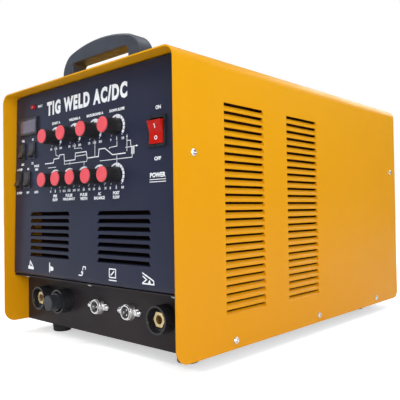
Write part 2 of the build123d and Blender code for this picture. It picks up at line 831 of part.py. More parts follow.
pin_angles = ((0, 180), (60, 180, 300))
pin_planes = [
    upright(
        x + pin_circle * cos(radians(angle)),
        lower_plate_y - insert_front - 1.8,
        connector_z + pin_circle * sin(radians(angle)),
    )
    for x, angles in zip(remote_socket_x, pin_angles)
    for angle in angles
]
with BuildPart(*pin_planes) as remote_socket_pins:
    Cylinder(pin_radius, insert_front + 18.0, align=(Align.CENTER, Align.CENTER, Align.MAX))
remote_socket_pins.part.label = "remote_socket_pins"
export_step(remote_socket_pins.part, "parts/remote_socket_pins.step")

remote_screw_planes = [
    upright(x + side * remote_screw_half, lower_plate_y - ear_thickness, connector_z)
    for x in remote_socket_x
    for side in (-1, 1)
]
with BuildPart(*remote_screw_planes) as remote_socket_screws:
    pan_head(2.9, 2.2, 1.5, 8.0, 3.0)
remote_socket_screws.part.label = "remote_socket_screws"
export_step(remote_socket_screws.part, "parts/remote_socket_screws.step")

# --------------------------------------------------------------------- cooling fan
fan_plane = rearward(0, rear_inner_y, fan_z)
hub_radius = 20.0
spindle_radius = 2.0
with BuildPart(fan_plane) as fan_frame:
    Box(fan_size, fan_size, fan_depth, align=(Align.CENTER, Align.CENTER, Align.MAX))
    fillet(fan_frame.edges().filter_by(Axis.Y), radius=6.0)
    Cylinder(fan_bore, 4 * fan_depth, mode=Mode.SUBTRACT)
    with GridLocations(2 * fan_hole_half, 2 * fan_hole_half, 2, 2):
        Cylinder(screw_hole, 4 * fan_depth, mode=Mode.SUBTRACT)
    with Locations((0, 0, -fan_depth)):
        Cylinder(hub_radius, 4.0, align=(Align.CENTER, Align.CENTER, Align.MIN))
        Box(6.0, 2 * fan_bore + 1.0, 3.0, align=(Align.CENTER, Align.CENTER, Align.MIN))
        Box(2 * fan_bore + 1.0, 6.0, 3.0, align=(Align.CENTER, Align.CENTER, Align.MIN))
        Cylinder(spindle_radius, fan_depth - 8.0, align=(Align.CENTER, Align.CENTER, Align.MIN))
fan_frame.part.label = "fan_frame"
export_step(fan_frame.part, "parts/fan_frame.step")

blade_count = 7
blade_tip = 55.0
blade_pitch = 38.0
with BuildPart(fan_plane.offset(-fan_depth / 2)) as fan_rotor:
    Cylinder(hub_radius - 0.5, 26.0)
    with PolarLocations(hub_radius + 16.0, blade_count):
        Box(40.0, 1.8, 30.0, rotation=(blade_pitch, 0, 0))
    Cylinder(blade_tip, 24.0, mode=Mode.INTERSECT)
    Cylinder(spindle_radius + 0.05, 60.0, mode=Mode.SUBTRACT)
fan_rotor.part.label = "fan_rotor"
export_step(fan_rotor.part, "parts/fan_rotor.step")

guard_rings = (50.0, 38.0, 26.0, 14.0)
guard_bar = 2.4
guard_diagonal = fan_hole_half * sqrt(2)
with BuildPart() as fan_guard:
    with BuildSketch(rearward(0, rear_outer_y, fan_z)):
        for radius in guard_rings:
            Circle(radius + guard_bar / 2)
            Circle(radius - guard_bar / 2, mode=Mode.SUBTRACT)
        for angle in (45, 135):
            Rectangle(2 * guard_diagonal, guard_bar, rotation=angle)
        Circle(guard_rings[-1] - guard_bar / 2, mode=Mode.SUBTRACT)
        with GridLocations(2 * fan_hole_half, 2 * fan_hole_half, 2, 2):
            Circle(4.6)
            Circle(screw_hole, mode=Mode.SUBTRACT)
    extrude(amount=guard_thickness)
fan_guard.part.label = "fan_guard"
export_step(fan_guard.part, "parts/fan_guard.step")

# ------------------------------------------------------------------- rear fittings
with BuildPart(rearward(gland_x, rear_outer_y, rear_fitting_z)) as cable_gland:
    with BuildSketch(rearward(gland_x, rear_outer_y, rear_fitting_z)):
        RegularPolygon(14.0, 6)
    extrude(amount=5.0)
    with Locations((0, 0, 5.0)):
        Cone(11.8, 9.0, 9.0, align=(Align.CENTER, Align.CENTER, Align.MIN))
    Cylinder(10.0, sheet + 9.0, align=(Align.CENTER, Align.CENTER, Align.MAX))
    Cylinder(5.5, 60.0, mode=Mode.SUBTRACT)
cable_gland.part.label = "cable_gland"
export_step(cable_gland.part, "parts/cable_gland.step")

barb_reach = 16.36
barb_radius = 4.0
barb_tip_radius = 3.2
barb_plain = 10.6
barb_tooth = (barb_reach - barb_plain) / 2
with BuildPart(rearward(inlet_x, rear_outer_y, rear_fitting_z)) as gas_inlet:
    with BuildSketch(rearward(inlet_x, rear_outer_y, rear_fitting_z)):
        RegularPolygon(9.5, 6)
    extrude(amount=4.5)
    Cylinder(barb_radius, barb_plain, align=(Align.CENTER, Align.CENTER, Align.MIN))
    with Locations((0, 0, barb_plain), (0, 0, barb_plain + barb_tooth)):
        Cone(
            barb_radius,
            barb_tip_radius,
            barb_tooth,
            align=(Align.CENTER, Align.CENTER, Align.MIN),
        )
    Cylinder(6.5, sheet + 6.0, align=(Align.CENTER, Align.CENTER, Align.MAX))
    Cylinder(2.2, 60.0, mode=Mode.SUBTRACT)
gas_inlet.part.label = "gas_inlet"
export_step(gas_inlet.part, "parts/gas_inlet.step")

valve_front = rear_inner_y - 6.0
with BuildPart() as gas_valve:
    with Locations((inlet_x, valve_front, rear_fitting_z)):
        Box(30.0, 26.0, 24.0, align=(Align.CENTER, Align.MAX, Align.CENTER))
    with Locations((inlet_x, valve_front - 13.0, rear_fitting_z + 12.0)):
        Cylinder(13.0, 34.0, align=(Align.CENTER, Align.CENTER, Align.MIN))
gas_valve.part.label = "gas_valve"
export_step(gas_valve.part, "parts/gas_valve.step")

# --------------------------------------------------------------- power components
floor_z = case_bottom + sheet
sink_length = 230.0
sink_width = 92.0
sink_height = 62.0
sink_base = 9.0
fin_count = 13
fin_thickness = 2.4
sink_mid_y = 10.0
sink_mid_x = 92.0
with BuildPart() as heat_sinks:
    with Locations(*[(side * sink_mid_x, sink_mid_y, floor_z) for side in (-1, 1)]):
        with GridLocations((sink_width - fin_thickness) / (fin_count - 1), 0, fin_count, 1):
            Box(
                fin_thickness,
                sink_length,
                sink_height - sink_base,
                align=(Align.CENTER, Align.CENTER, Align.MIN),
            )
        with Locations((0, 0, sink_height - sink_base)):
            Box(sink_width, sink_length, sink_base, align=(Align.CENTER, Align.CENTER, Align.MIN))
heat_sinks.part.label = "heat_sinks"
export_step(heat_sinks.part, "parts/heat_sinks.step")

board_z = floor_z + sink_height
with BuildPart() as power_board:
    with Locations((0, sink_mid_y, board_z)):
        Box(290.0, 280.0, 2.0, align=(Align.CENTER, Align.CENTER, Align.MIN))
power_board.part.label = "power_board"
export_step(power_board.part, "parts/power_board.step")

with BuildPart() as capacitor_bank:
    with Locations((0, sink_mid_y - 105.0, board_z + 2.0)):
        with GridLocations(46.0, 0, 6, 1):
            Cylinder(17.5, 50.0, align=(Align.CENTER, Align.CENTER, Align.MIN))
capacitor_bank.part.label = "capacitor_bank"
export_step(capacitor_bank.part, "parts/capacitor_bank.step")

core_z = board_z + 2.0
with BuildPart() as main_transformer:
    with Locations((0, sink_mid_y + 30.0, core_z)):
        Box(90.0, 70.0, 74.0, align=(Align.CENTER, Align.CENTER, Align.MIN))
    fillet(main_transformer.edges().filter_by(Axis.Z), radius=4.0)
    with Locations((0, sink_mid_y + 30.0, core_z + 12.0)):
        Box(62.0, 104.0, 50.0, align=(Align.CENTER, Align.CENTER, Align.MIN))
main_transformer.part.label = "main_transformer"
export_step(main_transformer.part, "parts/main_transformer.step")
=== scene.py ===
import json
import math

import bmesh
import bpy
from mathutils import Euler, Matrix, Vector


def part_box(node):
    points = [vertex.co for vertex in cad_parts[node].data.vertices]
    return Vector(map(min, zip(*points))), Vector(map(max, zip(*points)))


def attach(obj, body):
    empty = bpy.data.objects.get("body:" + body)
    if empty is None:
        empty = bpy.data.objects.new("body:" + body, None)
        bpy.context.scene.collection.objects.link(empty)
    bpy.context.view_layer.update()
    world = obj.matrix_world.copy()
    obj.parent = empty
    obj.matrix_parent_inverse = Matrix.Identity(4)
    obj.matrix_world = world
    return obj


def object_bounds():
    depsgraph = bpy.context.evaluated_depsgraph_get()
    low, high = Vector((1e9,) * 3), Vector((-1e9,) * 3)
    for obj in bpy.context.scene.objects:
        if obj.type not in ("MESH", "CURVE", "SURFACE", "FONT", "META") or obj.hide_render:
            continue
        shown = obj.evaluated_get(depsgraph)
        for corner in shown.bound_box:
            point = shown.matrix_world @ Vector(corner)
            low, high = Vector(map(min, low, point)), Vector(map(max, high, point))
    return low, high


# TIG welding machine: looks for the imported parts, the printing on its control panel,
# and a pale studio. Metres, +Z up, front towards -Y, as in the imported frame.

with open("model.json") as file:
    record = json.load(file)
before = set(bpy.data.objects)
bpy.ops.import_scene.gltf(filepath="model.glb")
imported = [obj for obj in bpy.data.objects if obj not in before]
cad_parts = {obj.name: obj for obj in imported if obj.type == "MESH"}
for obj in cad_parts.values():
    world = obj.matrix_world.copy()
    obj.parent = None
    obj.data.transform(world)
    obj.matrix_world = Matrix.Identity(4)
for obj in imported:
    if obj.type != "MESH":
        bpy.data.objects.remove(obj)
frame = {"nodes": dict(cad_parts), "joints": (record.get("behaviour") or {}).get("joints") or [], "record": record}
cad_low, cad_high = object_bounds()
nodes = frame["nodes"]
joints = {joint["name"]: joint for joint in frame["joints"]}
scene = bpy.context.scene
MM = 0.001

# ------------------------------------------------------------- the panel's frame
# The middle dial of the lower row stands on the panel's centre line. Its joint lies
# DIAL_REACH in front of the panel and LOWER_ROW above the panel's lower edge.
DIAL_REACH = 10 * MM
LOWER_ROW = 119.5 * MM
ACROSS = Vector((1, 0, 0))
OUT = Vector(joints["pulse_width_turn"]["axis"]).normalized()
UP = OUT.cross(ACROSS)
PANEL_FOOT = Vector(joints["pulse_width_turn"]["pos_m"]) - OUT * DIAL_REACH - UP * LOWER_ROW
PANEL = Matrix.Translation(PANEL_FOOT) @ Matrix((ACROSS, UP, OUT)).transposed().to_4x4()


def panel_place(joint_name):
    """Where a joint stands on the panel: millimetres across and up from its lower edge."""
    offset = Vector(joints[joint_name]["pos_m"]) - PANEL_FOOT
    return offset.dot(ACROSS) / MM, offset.dot(UP) / MM


# ------------------------------------------------------------------ shader helpers
def new_material(name, colour, roughness, metallic=0.0, shine=0.5):
    """A material with one Principled shader. shine is how mirror-like its face-on look is."""
    material = bpy.data.materials.new(name)
    material.use_nodes = True
    shader = material.node_tree.nodes["Principled BSDF"]
    shader.inputs["Base Color"].default_value = (*colour, 1.0)
    shader.inputs["Roughness"].default_value = roughness
    shader.inputs["Metallic"].default_value = metallic
    shader.inputs["Specular IOR Level"].default_value = shine
    return material


def shader_of(material):
    return material.node_tree.nodes["Principled BSDF"]


def add_node(material, kind, **settings):
    node = material.node_tree.nodes.new(kind)
    for key, value in settings.items():
        setattr(node, key, value)
    return node


def join(material, source, target):
    material.node_tree.links.new(source, target)


def place_of(material, stretch=(1, 1, 1)):
    """Object coordinates in metres, stretched along each axis."""
    place = add_node(material, "ShaderNodeTexCoord")
    mapping = add_node(material, "ShaderNodeMapping")
    mapping.inputs["Scale"].default_value = stretch
    join(material, place.outputs["Object"], mapping.inputs["Vector"])
    return mapping.outputs["Vector"]


def noise(material, scale, detail=3.0, stretch=(1, 1, 1)):
    texture = add_node(material, "ShaderNodeTexNoise")
    texture.inputs["Scale"].default_value = scale
    texture.inputs["Detail"].default_value = detail
    join(material, place_of(material, stretch), texture.inputs["Vector"])
    return texture.outputs["Fac"]


def mottle(material, colour, other, scale, low=0.4, high=0.6, detail=3.0, stretch=(1, 1, 1)):
    """The base colour drifts between two colours over a noise."""
    ramp = add_node(material, "ShaderNodeValToRGB")
    ramp.color_ramp.elements[0].position = low
    ramp.color_ramp.elements[0].color = (*colour, 1.0)
    ramp.color_ramp.elements[1].position = high
    ramp.color_ramp.elements[1].color = (*other, 1.0)
    join(material, noise(material, scale, detail, stretch), ramp.inputs["Fac"])
    join(material, ramp.outputs["Color"], shader_of(material).inputs["Base Color"])


def vary_roughness(material, low, high, scale, stretch=(1, 1, 1)):
    span = add_node(material, "ShaderNodeMapRange")
    span.inputs["From Min"].default_value = 0.35
    span.inputs["From Max"].default_value = 0.65
    span.inputs["To Min"].default_value = low
    span.inputs["To Max"].default_value = high
    join(material, noise(material, scale, 4.0, stretch), span.inputs["Value"])
    join(material, span.outputs["Result"], shader_of(material).inputs["Roughness"])


def grain(material, scale, strength, depth=0.0001, detail=2.0, stretch=(1, 1, 1)):
    """A fine bump over the whole surface."""
    bump = add_node(material, "ShaderNodeBump")
    bump.inputs["Strength"].default_value = strength
    bump.inputs["Distance"].default_value = depth
    join(material, noise(material, scale, detail, stretch), bump.inputs["Height"])
    join(material, bump.outputs["Normal"], shader_of(material).inputs["Normal"])


# ----------------------------------------------------------------------- materials
def powder_coat(name, colour, deep, roughness, peel, shine):
    """Powder-coated sheet: slow drift of colour and a fine orange-peel surface."""
    material = new_material(name, colour, roughness, shine=shine)
    mottle(material, colour, deep, 5.0, 0.3, 0.75)
    vary_roughness(material, roughness - 0.05, roughness + 0.07, 30.0)
    grain(material, 900.0, peel, 0.00005)
    return material


def cover_paint():
    """Orange-yellow powder coat with painted shade: it is a little deeper towards the bottom, where less light
    falls.
    """
    light, deep = (0.79, 0.375, 0.005), (0.72, 0.305, 0.003)
    material = powder_coat("cover_paint", light, light, 0.34, 0.25, 0.15)
    split = add_node(material, "ShaderNodeSeparateXYZ")
    join(material, place_of(material), split.inputs["Vector"])
    # Painted shade: the colour deepens from the upper part of the case down to the bottom, with a little noise
    # over it.
    height = add_node(material, "ShaderNodeMapRange")
    height.inputs["From Min"].default_value = cad_high.z * 0.9
    height.inputs["From Max"].default_value = cad_low.z
    join(material, split.outputs["Z"], height.inputs["Value"])
    drift = add_node(material, "ShaderNodeMath", operation="MULTIPLY_ADD")
    join(material, noise(material, 6.0), drift.inputs[0])
    drift.inputs[1].default_value = 0.35
    join(material, height.outputs["Result"], drift.inputs[2])
    mix = add_node(material, "ShaderNodeMix", data_type="RGBA")
    join(material, drift.outputs["Value"], mix.inputs["Factor"])
    mix.inputs["A"].default_value = (*light, 1.0)
    mix.inputs["B"].default_value = (*deep, 1.0)
    join(material, mix.outputs["Result"], shader_of(material).inputs["Base Color"])
    return material


def zinc_sheet():
    material = new_material("zinc_sheet", (0.52, 0.53, 0.54), 0.38, 1.0)
    mottle(material, (0.45, 0.46, 0.48), (0.60, 0.61, 0.62), 60.0)
    vary_roughness(material, 0.28, 0.48, 90.0)
    grain(material, 260.0, 0.15)
    return material


def moulded(name, colour, roughness, texture_scale=1400.0, depth=0.3, worn=None, shine=0.5):
    """Moulded plastic or rubber: spark-eroded texture and slight handling marks."""
    material = new_material(name, colour, roughness, shine=shine)
    lighter = worn or tuple(min(1.0, value * 1.35 + 0.004) for value in colour)
    mottle(material, colour, lighter, 70.0, 0.45, 0.8, 5.0)
    vary_roughness(material, roughness - 0.06, roughness + 0.10, 120.0)
    grain(material, texture_scale, depth, 0.00004)
    return material


def turned_metal(name, colour, other, roughness):
    """Machined or plated metal with very fine tool marks."""
    material = new_material(name, colour, roughness, 1.0)
    mottle(material, colour, other, 180.0)
    vary_roughness(material, roughness - 0.08, roughness + 0.12, 400.0)
    grain(material, 1800.0, 0.18, 0.00003)
    return material


def circuit_board(name, mask, copper):
    """Solder mask with the copper tracks under it showing as a lighter green."""
    material = new_material(name, mask, 0.32)
    cells = add_node(material, "ShaderNodeTexVoronoi", feature="DISTANCE_TO_EDGE")
    cells.inputs["Scale"].default_value = 160.0
    join(material, place_of(material), cells.inputs["Vector"])
    ramp = add_node(material, "ShaderNodeValToRGB")
    ramp.color_ramp.elements[0].position = 0.05
    ramp.color_ramp.elements[0].color = (*mask, 1.0)
    ramp.color_ramp.elements[1].position = 0.07
    ramp.color_ramp.elements[1].color = (*copper, 1.0)
    join(material, cells.outputs["Distance"], ramp.inputs["Fac"])
    join(material, ramp.outputs["Color"], shader_of(material).inputs["Base Color"])
    grain(material, 500.0, 0.2)
    return material


def wound_core():
    """Ferrite and taped windings: bands of turns along the winding's length."""
    material = new_material("transformer_core", (0.10, 0.07, 0.05), 0.55)
    bands = add_node(material, "ShaderNodeTexWave", bands_direction="Y")
    bands.inputs["Scale"].default_value = 160.0
    bands.inputs["Distortion"].default_value = 0.6
    join(material, place_of(material), bands.inputs["Vector"])
    ramp = add_node(material, "ShaderNodeValToRGB")
    ramp.color_ramp.elements[0].color = (0.05, 0.035, 0.03, 1.0)
    ramp.color_ramp.elements[1].color = (0.30, 0.14, 0.05, 1.0)
    join(material, bands.outputs["Fac"], ramp.inputs["Fac"])
    join(material, ramp.outputs["Color"], shader_of(material).inputs["Base Color"])
    bump = add_node(material, "ShaderNodeBump")
    bump.inputs["Strength"].default_value = 0.5
    bump.inputs["Distance"].default_value = 0.0005
    join(material, bands.outputs["Fac"], bump.inputs["Height"])
    join(material, bump.outputs["Normal"], shader_of(material).inputs["Normal"])
    return material


def glossy(material, coat, coat_roughness=0.1):
    shader = shader_of(material)
    shader.inputs["Coat Weight"].default_value = coat
    shader.inputs["Coat Roughness"].default_value = coat_roughness
    return material


MATERIALS = {
    "cover_paint": cover_paint(),
    "panel_paint": powder_coat(
        "panel_paint", (0.018, 0.020, 0.040), (0.024, 0.028, 0.056), 0.36, 0.3, 0.22
    ),
    # plate_paint is near-black with a brownish tint; the tint is painted reflection of the orange cover and the
    # floor on the dark plate.
    "plate_paint": powder_coat(
        "plate_paint", (0.022, 0.017, 0.020), (0.032, 0.024, 0.025), 0.45, 0.4, 0.2
    ),
    "zinc_sheet": zinc_sheet(),
    "foot_rubber": moulded("foot_rubber", (0.022, 0.022, 0.023), 0.72, 900.0, 0.4),
    "screw_steel": turned_metal("screw_steel", (0.70, 0.72, 0.75), (0.80, 0.82, 0.84), 0.26),
    "handle_plastic": moulded("handle_plastic", (0.034, 0.042, 0.062), 0.40, 1100.0, 0.5),
    "knob_plastic": moulded("knob_plastic", (0.012, 0.012, 0.014), 0.40, 1500.0, 0.2),
    "cap_plastic": moulded(
        "cap_plastic", (0.80, 0.085, 0.105), 0.36, 1600.0, 0.15, (0.84, 0.11, 0.13), 0.35
    ),
    "black_plastic": moulded("black_plastic", (0.016, 0.016, 0.018), 0.30, 1600.0, 0.15),
    "display_window_red": glossy(
        moulded("display_window_red", (0.085, 0.055, 0.075), 0.16, 600.0, 0.03), 0.4
    ),
    "display_dark": moulded("display_dark", (0.03, 0.01, 0.012), 0.5),
    "lamp_red": glossy(moulded("lamp_red", (0.42, 0.012, 0.02), 0.2, 700.0, 0.05), 0.6),
    "rocker_red": moulded(
        "rocker_red", (0.50, 0.010, 0.006), 0.24, 700.0, 0.05, (0.58, 0.016, 0.010), 0.12
    ),
    "rocker_black": moulded("rocker_black", (0.026, 0.027, 0.032), 0.28, 1200.0, 0.12),
    "brass": turned_metal("brass", (0.84, 0.62, 0.30), (0.92, 0.74, 0.42), 0.38),
    "plug_grey": moulded("plug_grey", (0.020, 0.021, 0.026), 0.40),
    "bright_chrome": turned_metal("bright_chrome", (0.88, 0.87, 0.86), (0.95, 0.94, 0.93), 0.34),
    "fan_plastic": moulded("fan_plastic", (0.020, 0.020, 0.022), 0.42),
    "guard_wire": turned_metal("guard_wire", (0.62, 0.63, 0.64), (0.72, 0.72, 0.73), 0.22),
    "board_green": circuit_board("board_green", (0.012, 0.10, 0.035), (0.03, 0.17, 0.06)),
    "pot_metal": turned_metal("pot_metal", (0.50, 0.50, 0.48), (0.60, 0.60, 0.57), 0.32),
    "sink_aluminium": turned_metal("sink_aluminium", (0.20, 0.20, 0.21), (0.28, 0.28, 0.29), 0.42),
    "capacitor_sleeve": glossy(moulded("capacitor_sleeve", (0.015, 0.030, 0.085), 0.3), 0.3),
    "transformer_core": wound_core(),
}
INK = moulded("panel_ink", (0.92, 0.95, 0.98), 0.45, 1500.0, 0.1, (0.95, 0.97, 1.0))

for part in frame["record"]["subparts"]:
    mesh = nodes[part["node"]].data
    mesh.materials.clear()
    mesh.materials.append(MATERIALS[part["material_slot"]])

# --------------------------------------------------------------- printing on the panel
# Sizes of the printing are in millimetres; a weight is a share of the letter size.
LABEL_HEIGHT = 3.1
LABEL_STEP = 2.3
LABEL_WEIGHT = 0.04
CAPTION_WEIGHT = 0.045
FINE_WEIGHT = 0.03
TICK_LINE = 0.6
ICON_LINE = 1.2
WAVE_LINE = 1.15
LEADER_LINE = 0.75
BAND_RIM = 13.5
INK_FRONT = 0.12 * MM
INK_BACK = -0.05 * MM
SHARPEST_MITRE = 0.35


def prism(mesh, outline):
    """Adds a thin plate of the outline, in millimetres on the panel, to a bmesh."""
    front = [mesh.verts.new((x * MM, rise * MM, INK_FRONT)) for x, rise in outline]
    back = [mesh.verts.new((x * MM, rise * MM, INK_BACK)) for x, rise in outline]
    mesh.faces.new(front)
    mesh.faces.new(back[::-1])
    count = len(outline)
    for i in range(count):
        j = (i + 1) % count
        mesh.faces.new((front[j], front[i], back[i], back[j]))


def ribbon(mesh, points, width):
    """Adds a line of the given width through the points, mitred at its corners."""
    track = [Vector(point) for point in points]
    steps = [(b - a).normalized() for a, b in zip(track, track[1:])]
    left, right = [], []
    for i, point in enumerate(track):
        before = steps[max(i - 1, 0)]
        after = steps[min(i, len(steps) - 1)]
        along = (before + after).normalized()
        side = Vector((-along.y, along.x))
        square = Vector((-after.y, after.x))
        reach = width / 2 / max(SHARPEST_MITRE, side.dot(square))
        left.append(tuple(point + side * reach))
        right.append(tuple(point - side * reach))
    prism(mesh, right + left[::-1])


def box(mesh, x, rise, width, height):
    half_w, half_h = width / 2, height / 2
    corners = ((-half_w, -half_h), (half_w, -half_h), (half_w, half_h), (-half_w, half_h))
    prism(mesh, [(x + dx, rise + dy) for dx, dy in corners])


def arc(mesh, x, rise, inner, outer, start, end, steps=5, inner_end=None):
    """Adds a ring segment between two angles, in degrees anticlockwise from the right.

    Its inner radius may change along the way, from inner to inner_end."""
    shares = [i / steps for i in range(steps + 1)]
    turns = [math.radians(start + (end - start) * share) for share in shares]
    widen = (inner if inner_end is None else inner_end) - inner
    depths = [inner + widen * share for share in shares]
    rim = [(x + outer * math.cos(turn), rise + outer * math.sin(turn)) for turn in turns]
    hollow = [(x + r * math.cos(turn), rise + r * math.sin(turn)) for r, turn in zip(depths, turns)]
    prism(mesh, rim + hollow[::-1])


def words(mesh, text, x, rise, height, width=None, weight=0.0, spacing=1.0):
    """Adds a line of capitals, centred at a place, as tall and as wide as asked."""
    curve = bpy.data.curves.new("words", "FONT")
    curve.body = text
    curve.offset = weight
    curve.space_character = spacing
    curve.resolution_u = 3
    curve.extrude = 0.5
    holder = bpy.data.objects.new("words", curve)
    scene.collection.objects.link(holder)
    bpy.context.view_layer.update()
    solved = holder.evaluated_get(bpy.context.evaluated_depsgraph_get())
    letters = bpy.data.meshes.new_from_object(solved)
    bpy.data.objects.remove(holder)
    xs = [vertex.co.x for vertex in letters.vertices]
    ys = [vertex.co.y for vertex in letters.vertices]
    size_y = height / (max(ys) - min(ys))
    size_x = size_y if width is None else width / (max(xs) - min(xs))
    mid_x, mid_y = (max(xs) + min(xs)) / 2, (max(ys) + min(ys)) / 2
    for vertex in letters.vertices:
        across, up, out = vertex.co
        vertex.co = (
            (x + (across - mid_x) * size_x) * MM,
            (rise + (up - mid_y) * size_y) * MM,
            INK_FRONT if out > 0 else INK_BACK,
        )
    mesh.from_mesh(letters)
    bpy.data.meshes.remove(letters)


def print_piece(name, draw, body="machine", frame_matrix=PANEL):
    """Builds one printed piece from a drawing function and fixes it to a body."""
    mesh = bmesh.new()
    draw(mesh)
    data = bpy.data.meshes.new(name)
    mesh.transform(frame_matrix)
    mesh.to_mesh(data)
    mesh.free()
    data.materials.append(INK)
    piece = bpy.data.objects.new(name, data)
    scene.collection.objects.link(piece)
    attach(piece, body)


def title(mesh):
    words(mesh, "TIG WELD AC/DC", -2.0, 210.0, 17.8, 156.0, 0.055, 1.22)


def small_labels(mesh):
    captions = {
        "start_current": "START A",
        "welding_current": "WELDING A",
        "background_current": "BACKGROUND A",
        "down_slope": "DOWN SLOPE",
    }
    for name, caption in captions.items():
        x, rise = panel_place(name + "_turn")
        words(mesh, caption, x, rise + 18.4, 3.2, 2.55 * len(caption), CAPTION_WEIGHT)
    lower = {
        "pre_flow": ("PRE", "FLOW"),
        "pulse_frequency": ("PULSE", "FREQUENCY"),
        "pulse_width": ("PULSE", "WIDTH"),
        "ac_balance": ("AC", "BALANCE"),
        "post_flow": ("POST", "FLOW"),
    }
    for name, lines in lower.items():
        x, rise = panel_place(name + "_turn")
        for line, drop in zip(lines, (18.8, 23.4)):
            words(mesh, line, x, rise - drop, 3.6, 2.75 * len(line), CAPTION_WEIGHT)


def selector_labels(mesh):
    pairs = {
        "process_rock": ("TIG", "ARC"),
        "current_type_rock": ("AC", "DC"),
        "trigger_mode_rock": ("4 STEP", "2 STEP"),
        "pulse_rock": ("ON", "OFF"),
    }
    for name, captions in pairs.items():
        x, rise = panel_place(name)
        for caption, lift in zip(captions, (14.4, -16.4)):
            width = LABEL_STEP * len(caption)
            words(mesh, caption, x, rise + lift, LABEL_HEIGHT, width, LABEL_WEIGHT)
    for line, rise in (("PULSE", 140.4), ("MAN", 135.9), ("AUTO", 107.0)):
        words(mesh, line, -102.8, rise, LABEL_HEIGHT, LABEL_STEP * len(line), LABEL_WEIGHT)
    words(mesh, "FAULT", -96.0, 216.4, LABEL_HEIGHT, 10.5, LABEL_WEIGHT)


def dial_marks(mesh):
    """The white band with its ticks, and the numbers, round each dial."""
    ranges = {
        "start_current": ("10", "110", "200"),
        "welding_current": ("10", "110", "200"),
        "background_current": ("10", "110", "200"),
        "down_slope": ("0", "5", "10"),
        "pre_flow": ("0", "1", "2"),
        "pulse_frequency": ("0.5", "150", "300"),
        "pulse_width": ("10", "50", "90"),
        "ac_balance": ("30", "50", "70"),
        "post_flow": ("1", "5", "10"),
    }
    for name, numbers in ranges.items():
        x, rise = panel_place(name + "_turn")
        arc(mesh, x, rise, 9.4, BAND_RIM, 62, 96, 8)
        arc(mesh, x, rise, 11.3, BAND_RIM, 96, 205, 20, 13.1)
        for start, end in ((42, 59), (22, 39), (2, 19), (-18, -1), (-38, -21)):
            arc(mesh, x, rise, 10.4, BAND_RIM, start, end)
        for side in (-1, 1):
            ribbon(mesh, [(x + side * 8.2, rise - 8.2), (x + side * 9.4, rise - 9.6)], TICK_LINE)
        ribbon(mesh, [(x, rise - 10.2), (x, rise - 11.4)], TICK_LINE)
        for number, dx in zip(numbers, (-10.2, 0.0, 10.6)):
            words(mesh, number, x + dx, rise - 13.2, 2.9, 1.9 * len(number), FINE_WEIGHT)


def waveform(mesh):
    """The drawing of welding current against time between the two rows of dials."""
    main = [
        (-83, 141.6), (-64, 141.6), (-63, 146), (-52, 146.4), (-50.4, 150.2), (-41, 150.2),
        (-40, 142), (-18, 142), (-17.3, 149.7), (4, 149.8), (6, 142), (27, 142.2),
        (28, 150.3), (38.7, 150.3), (52, 142.2), (74, 142.2),
    ]
    ribbon(mesh, main, WAVE_LINE)
    thin = (
        [(-17, 145.9), (3.5, 146.2)],
        [(-40, 142), (-40, 138.2), (5, 138.4), (6, 142)],
        [(-76, 136), (-58, 136)],
        [(30, 137), (84.5, 136.9), (85.2, 140)],
        [(76.2, 160), (76.3, 144)],
        [(76, 155), (82, 155), (82.8, 147.6)],
        [(74, 148), (91.5, 148.4)],
        [(46.4, 148.8), (46.7, 150.4), (59.6, 150.8), (59.6, 156)],
        [(20.5, 143), (20.4, 159)],
        [(-4.4, 153.3), (-6.4, 154.9), (-19.4, 155.3), (-19.5, 158)],
        [(-52, 148.5), (-58.5, 150.8), (-59.3, 157)],
        [(-28.4, 136.5), (-28.4, 140.6)],
        [(59.6, 132), (59.6, 141)],
        [(0, 134), (0, 138)],
    )
    for line in thin:
        ribbon(mesh, line, LEADER_LINE)
    prism(mesh, [(91, 147.2), (94, 148.4), (91, 149.6)])
    prism(mesh, [(75.2, 159), (77.2, 159), (76.2, 162)])
    for i in range(4):
        box(mesh, 83.6 + i * 1.4, 144.2, 0.8, 8.0)


def power_marks(mesh):
    x, rise = panel_place("power_rock")
    words(mesh, "ON", x + 0.7, rise + 23.9, 3.9, 7.6, FINE_WEIGHT)
    words(mesh, "OFF", x + 0.4, rise - 27.1, 3.9, 9.6, FINE_WEIGHT)
    words(mesh, "POWER", x + 0.5, rise - 43.4, 4.9, 22.5, LABEL_WEIGHT)
    box(mesh, x + 0.5, rise - 47.8, 23.5, 0.7)
    box(mesh, x + 0.5, rise - 50.2, 23.5, 0.7)


